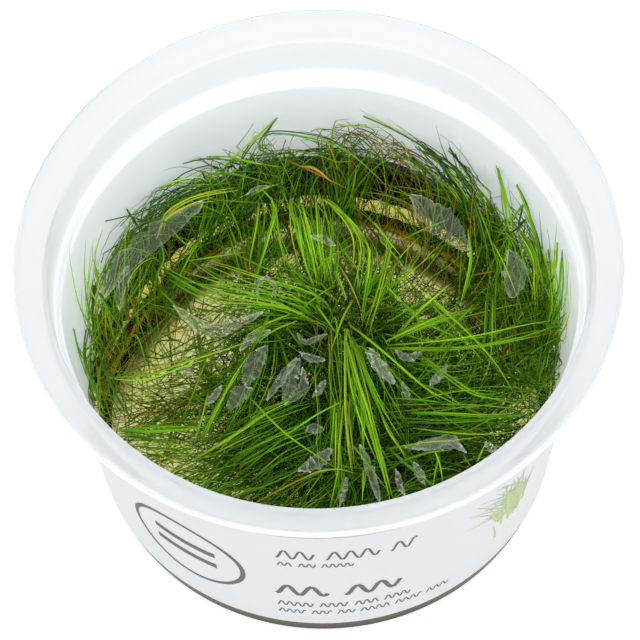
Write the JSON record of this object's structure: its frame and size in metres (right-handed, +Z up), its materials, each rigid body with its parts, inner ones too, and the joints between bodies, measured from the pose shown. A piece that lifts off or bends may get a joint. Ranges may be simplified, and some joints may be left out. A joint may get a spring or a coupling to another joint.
{
  "type": "potted aquarium plant",
  "caption": "Dwarf hairgrass growing in clear jelly in a low, wide, see-through plastic cup with a plain label band.",
  "frame": {"origin": "middle of the underside of the cup's base", "axes": "+Z up along the cup's axis, -Y towards the front of the label, +X to its right"},
  "size_m": [0.1, 0.1, 0.0587],
  "materials": {
    "milky_plastic": "milky see-through polypropylene, smooth",
    "white_label": "white film label, satin",
    "clear_jelly": "clear tan jelly, wet gloss",
    "leaf": "fresh needle leaves, satin",
    "jelly_flake": "torn clear jelly, wet gloss"
  },
  "bodies": {
    "root": {"cup": "milky_plastic", "label": "white_label", "gel": "clear_jelly", "tuft_01": "leaf", "tuft_02": "leaf", "tuft_03": "leaf", "tuft_04": "leaf", "tuft_05": "leaf", "tuft_06": "leaf", "tuft_07": "leaf", "tuft_08": "leaf", "tuft_09": "leaf", "tuft_10": "leaf", "tuft_11": "leaf", "tuft_12": "leaf", "tuft_13": "leaf", "tuft_14": "leaf", "tuft_15": "leaf", "tuft_16": "leaf", "tuft_17": "leaf", "tuft_18": "leaf", "tuft_19": "leaf", "tuft_20": "leaf", "tuft_21": "leaf", "tuft_22": "leaf", "tuft_23": "leaf", "tuft_24": "leaf", "tuft_25": "leaf", "scrap_1": "jelly_flake", "scrap_2": "jelly_flake", "scrap_3": "jelly_flake", "scrap_4": "jelly_flake", "scrap_5": "jelly_flake", "scrap_6": "jelly_flake"}
  },
  "joints": []
}
